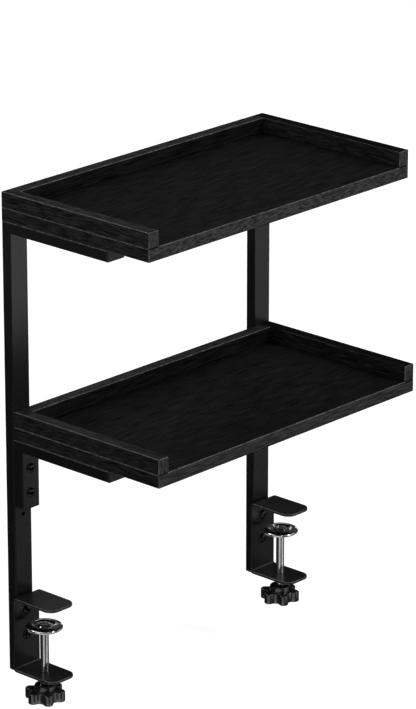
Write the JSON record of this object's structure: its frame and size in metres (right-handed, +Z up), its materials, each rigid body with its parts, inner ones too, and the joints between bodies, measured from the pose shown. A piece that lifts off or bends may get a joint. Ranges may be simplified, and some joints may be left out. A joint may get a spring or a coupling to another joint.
{
  "type": "clamp-on desk shelf",
  "caption": "Black desk shelf with two open-fronted trays on tube posts that clamp to a desk's back edge by screw clamps with knobs.",
  "frame": {"origin": "midway between the two clamps, where the desk top's upper back edge sits: z is 0 at the underside of the upper jaws, y is 0 at the inner face of the clamp plates", "axes": "+X to the right seen from the front, -Y to the front over the desk, +Z up"},
  "size_m": [0.4408, 0.233, 0.589],
  "materials": {
    "black_wood": "black-stained wood with a fine open grain, semi-matt lacquer",
    "powder_coated_steel": "satin black powder coat with a fine texture",
    "plug_plastic": "moulded black plastic, fine spark-eroded texture",
    "knob_plastic": "glossy moulded black plastic",
    "chrome": "bright chrome plate",
    "black_screw": "glossy black-coated steel",
    "zinc_steel": "zinc-plated steel",
    "dowel_wood": "bare beech"
  },
  "bodies": {
    "root": {"upper_board": "black_wood", "upper_left_rail": "black_wood", "upper_right_rail": "black_wood", "upper_back_rail": "black_wood", "lower_board": "black_wood", "lower_left_rail": "black_wood", "lower_right_rail": "black_wood", "lower_back_rail": "black_wood", "left_post": "powder_coated_steel", "right_post": "powder_coated_steel", "left_top_arm": "powder_coated_steel", "right_top_arm": "powder_coated_steel", "left_bracket_leg": "powder_coated_steel", "right_bracket_leg": "powder_coated_steel", "left_bracket_arm": "powder_coated_steel", "right_bracket_arm": "powder_coated_steel", "left_clamp_plate": "powder_coated_steel", "right_clamp_plate": "powder_coated_steel", "left_clamp_nut": "powder_coated_steel", "right_clamp_nut": "powder_coated_steel", "post_rivet_nuts": "powder_coated_steel", "post_end_plugs": "plug_plastic", "top_arm_end_plugs": "plug_plastic", "bracket_leg_end_plugs": "plug_plastic", "bracket_arm_end_plugs": "plug_plastic", "bracket_screws": "black_screw", "clamp_plate_screws": "black_screw", "upper_board_screws": "zinc_steel", "lower_board_screws": "zinc_steel", "upper_rail_dowels": "dowel_wood", "lower_rail_dowels": "dowel_wood"},
    "left_pad": {"left_pad": "chrome"},
    "right_pad": {"right_pad": "chrome"},
    "left_screw": {"left_spindle": "chrome", "left_knob": "knob_plastic"},
    "right_screw": {"right_spindle": "chrome", "right_knob": "knob_plastic"}
  },
  "joints": [
    {"name": "left_pad_lift", "type": "slide", "parent": "root", "child": "left_pad", "axis": [0, 0, 1], "range_m": [-0.048, 0.012]},
    {"name": "left_screw_turn", "type": "hinge", "parent": "left_pad", "child": "left_screw", "pos_m": [-0.197, -0.0275, 0], "axis": [0, 0, 1], "range_deg": [-11520, 2880]},
    {"name": "right_pad_lift", "type": "slide", "parent": "root", "child": "right_pad", "axis": [0, 0, 1], "range_m": [-0.048, 0.012]},
    {"name": "right_screw_turn", "type": "hinge", "parent": "right_pad", "child": "right_screw", "pos_m": [0.197, -0.0275, 0], "axis": [0, 0, 1], "range_deg": [-11520, 2880]}
  ],
  "couplings": [
    {"joint": "left_screw_turn", "follows": "left_pad_lift", "rad_per_m": 4188.8},
    {"joint": "right_screw_turn", "follows": "right_pad_lift", "rad_per_m": 4188.8}
  ]
}
